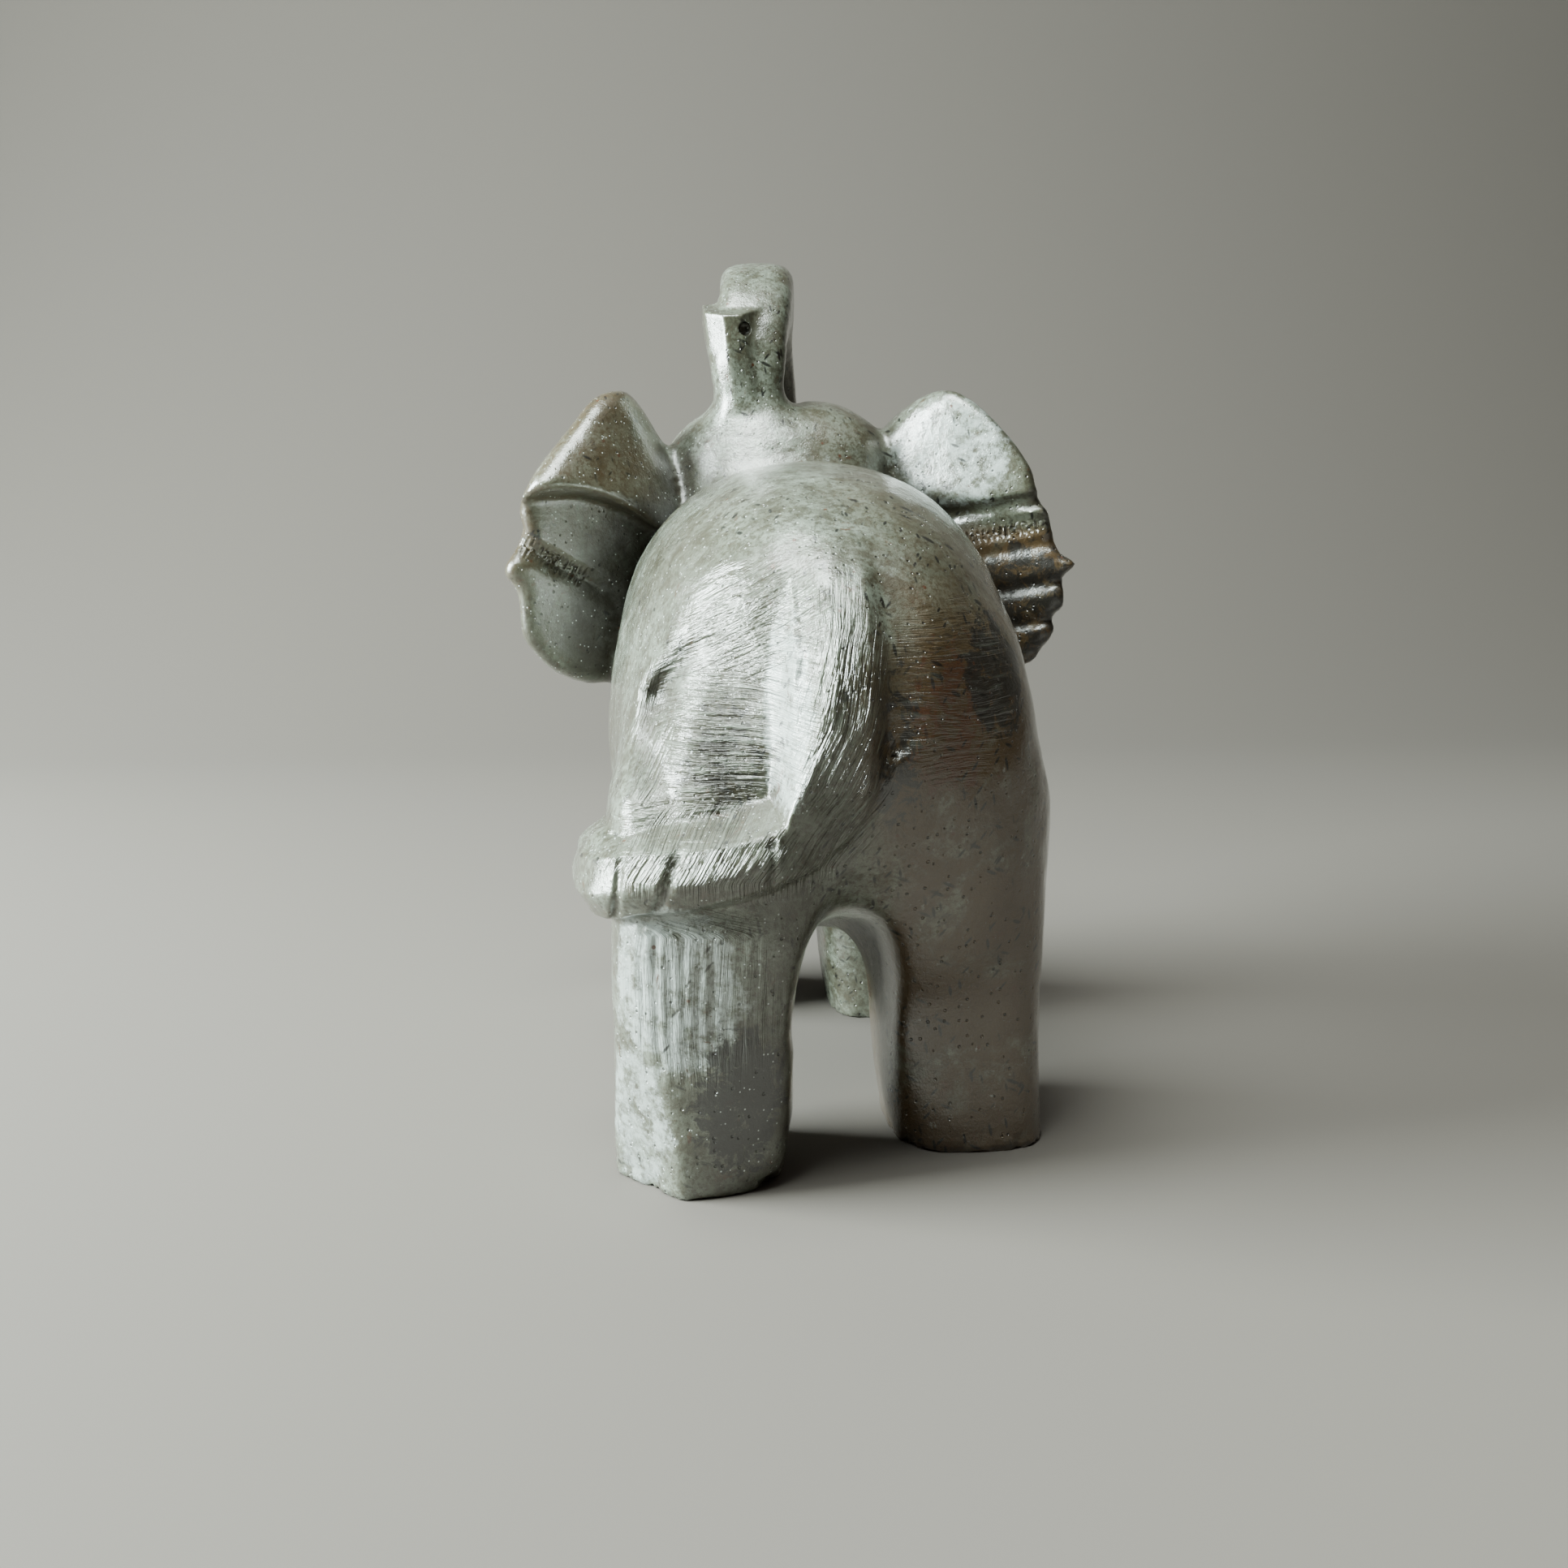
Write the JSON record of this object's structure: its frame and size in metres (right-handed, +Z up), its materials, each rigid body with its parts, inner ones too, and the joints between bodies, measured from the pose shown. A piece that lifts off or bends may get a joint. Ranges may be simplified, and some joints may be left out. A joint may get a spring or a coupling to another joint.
{
  "type": "stone elephant figurine",
  "caption": "Small elephant carved from one block of polished stone, walking, with ears spread and trunk curled back over its crown.",
  "frame": {"origin": "centre of the bounding box, on the ground under the feet", "axes": "+Z up, +Y the way the elephant faces, +X its right-hand side"},
  "size_m": [0.0604, 0.0896, 0.084],
  "materials": {
    "stone": "polished grey-green jasper with dark flecks and tool marks"
  },
  "bodies": {
    "root": {"elephant": "stone"}
  },
  "joints": []
}
